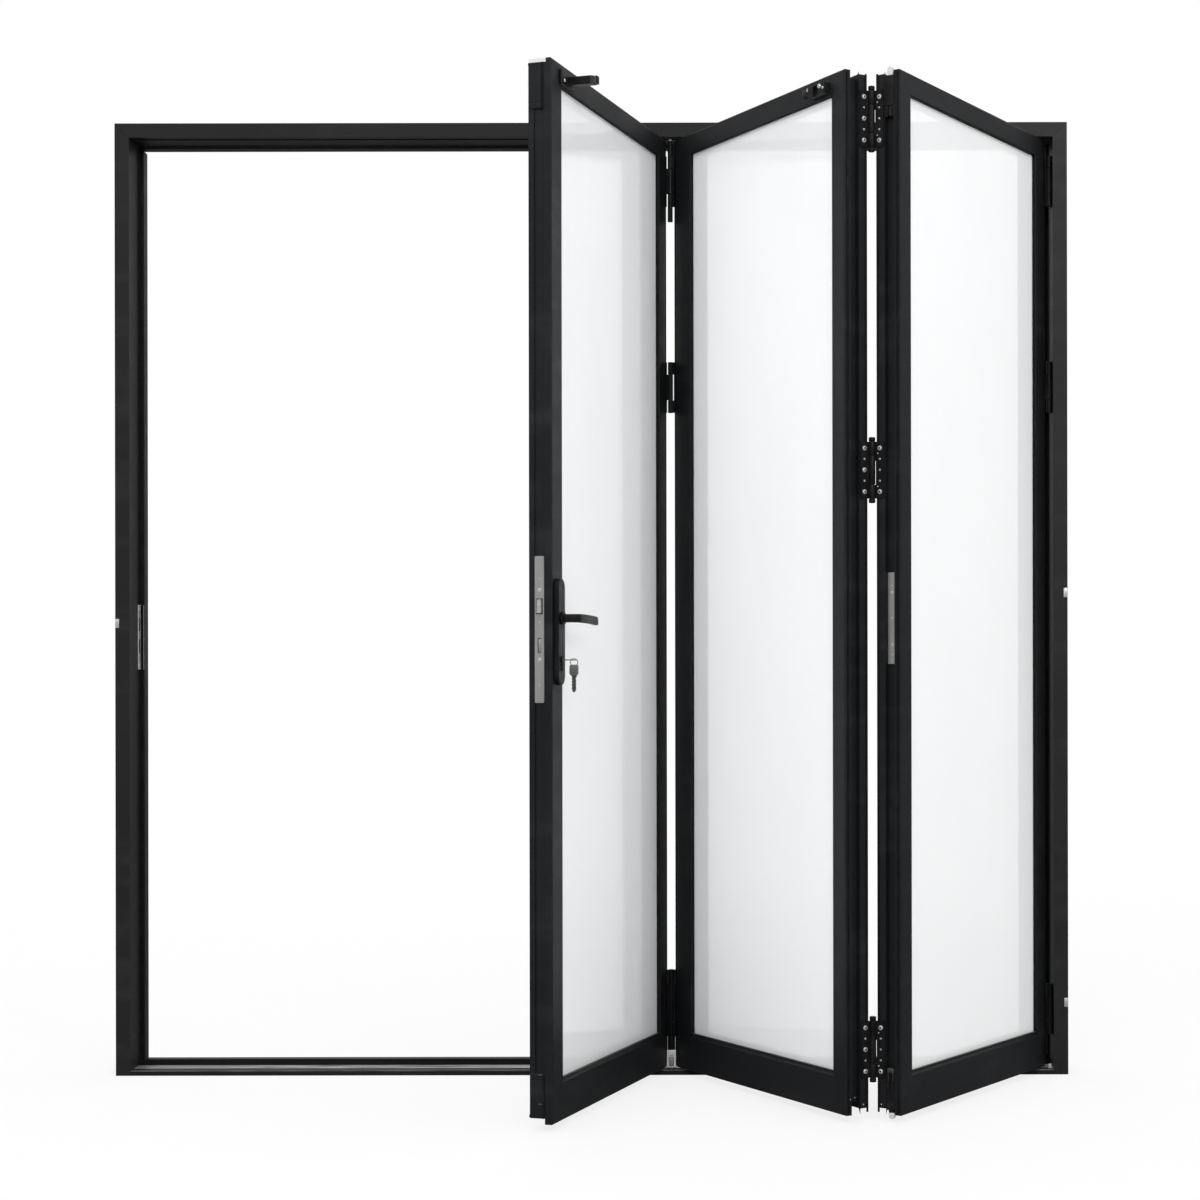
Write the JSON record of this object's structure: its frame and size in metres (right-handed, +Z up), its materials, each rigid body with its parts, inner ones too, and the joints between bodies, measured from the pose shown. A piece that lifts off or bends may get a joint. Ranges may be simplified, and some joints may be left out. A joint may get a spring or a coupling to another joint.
{
  "type": "bifold glass patio door",
  "caption": "Outward-folding aluminium patio door with glazed leaves folded to one side of a low-silled frame, a lever handle and lock on the lead leaf.",
  "frame": {"origin": "middle of the sill's underside, on the frame's mid depth", "axes": "+X to the right seen from outside, -Y outwards through the doorway, +Z up"},
  "size_m": [2.4, 0.8412, 2.4],
  "materials": {
    "frame_paint": "satin black powder coat",
    "leaf_paint": "satin black powder coat",
    "sill_metal": "black coat worn to bare metal on the walked edge",
    "clear_glass": "clear sealed double glazing unit",
    "hinge_paint": "satin black",
    "bright_steel": "plated",
    "brushed_steel": "brushed",
    "key_metal": "plated",
    "black_plastic": "matte moulded",
    "white_plastic": "moulded"
  },
  "bodies": {
    "door": {"left_jamb": "frame_paint", "right_jamb": "frame_paint", "head": "frame_paint", "sill": "sill_metal", "lead_leaf_left_stile": "leaf_paint", "lead_leaf_right_stile": "leaf_paint", "lead_leaf_top_rail": "leaf_paint", "lead_leaf_bottom_rail": "leaf_paint", "lead_leaf_glass": "clear_glass", "centre_leaf_left_stile": "leaf_paint", "centre_leaf_right_stile": "leaf_paint", "centre_leaf_top_rail": "leaf_paint", "centre_leaf_bottom_rail": "leaf_paint", "centre_leaf_glass": "clear_glass", "jamb_leaf_left_stile": "leaf_paint", "jamb_leaf_right_stile": "leaf_paint", "jamb_leaf_top_rail": "leaf_paint", "jamb_leaf_bottom_rail": "leaf_paint", "jamb_leaf_glass": "clear_glass", "lead_hinge_bottom_lead_leaf_plate": "hinge_paint", "lead_hinge_bottom_centre_leaf_plate": "hinge_paint", "lead_hinge_middle_lead_leaf_plate": "hinge_paint", "lead_hinge_middle_centre_leaf_plate": "hinge_paint", "lead_hinge_top_lead_leaf_plate": "hinge_paint", "lead_hinge_top_centre_leaf_plate": "hinge_paint", "fold_hinge_bottom_centre_leaf_plate": "hinge_paint", "fold_hinge_bottom_jamb_leaf_plate": "hinge_paint", "fold_hinge_middle_centre_leaf_plate": "hinge_paint", "fold_hinge_middle_jamb_leaf_plate": "hinge_paint", "fold_hinge_top_centre_leaf_plate": "hinge_paint", "fold_hinge_top_jamb_leaf_plate": "hinge_paint", "jamb_hinge_bottom_jamb_leaf_plate": "hinge_paint", "jamb_hinge_bottom_jamb_plate": "hinge_paint", "jamb_hinge_middle_jamb_leaf_plate": "hinge_paint", "jamb_hinge_middle_jamb_plate": "hinge_paint", "jamb_hinge_top_jamb_leaf_plate": "hinge_paint", "jamb_hinge_top_jamb_plate": "hinge_paint", "top_truck": "brushed_steel", "bottom_guide": "bright_steel", "lock_faceplate": "brushed_steel", "backplate": "leaf_paint", "lock_cylinder": "brushed_steel", "door_key": "key_metal", "key_ring": "key_metal", "lock_keep": "brushed_steel", "top_end_block": "black_plastic", "bottom_end_block": "black_plastic", "stile_cap": "white_plastic", "catch_arm": "hinge_paint", "catch_keeper": "black_plastic", "top_bolt_guide": "black_plastic", "bottom_bolt_guide": "black_plastic", "gearbox_plate": "brushed_steel"},
    "lever": {"lever_handle": "leaf_paint"},
    "latch": {"latch_bolt": "bright_steel"},
    "top_bolt": {"top_shoot_bolt": "white_plastic"},
    "bottom_bolt": {"bottom_shoot_bolt": "white_plastic"}
  },
  "joints": [
    {"name": "lever_turn", "type": "hinge", "parent": "door", "child": "lever", "pos_m": [-0.02255, -0.74826, 1.13], "axis": [-0.9583, 0.2857, 0], "range_deg": [0, 40], "stiffness_Nm_per_rad": 1.2, "springref_deg": -20.05},
    {"name": "latch_slide", "type": "slide", "parent": "door", "child": "latch", "axis": [0.2857, 0.9583, 0], "range_m": [0, 0.0095], "stiffness_N_per_m": 350, "springref_m": -0.012},
    {"name": "top_bolt_slide", "type": "slide", "parent": "door", "child": "top_bolt", "axis": [0, 0, -1], "range_m": [0, 0.02]},
    {"name": "bottom_bolt_slide", "type": "slide", "parent": "door", "child": "bottom_bolt", "axis": [0, 0, 1], "range_m": [0, 0.02]}
  ],
  "couplings": [
    {"joint": "latch_slide", "follows": "lever_turn", "m_per_rad": 0.0136}
  ]
}
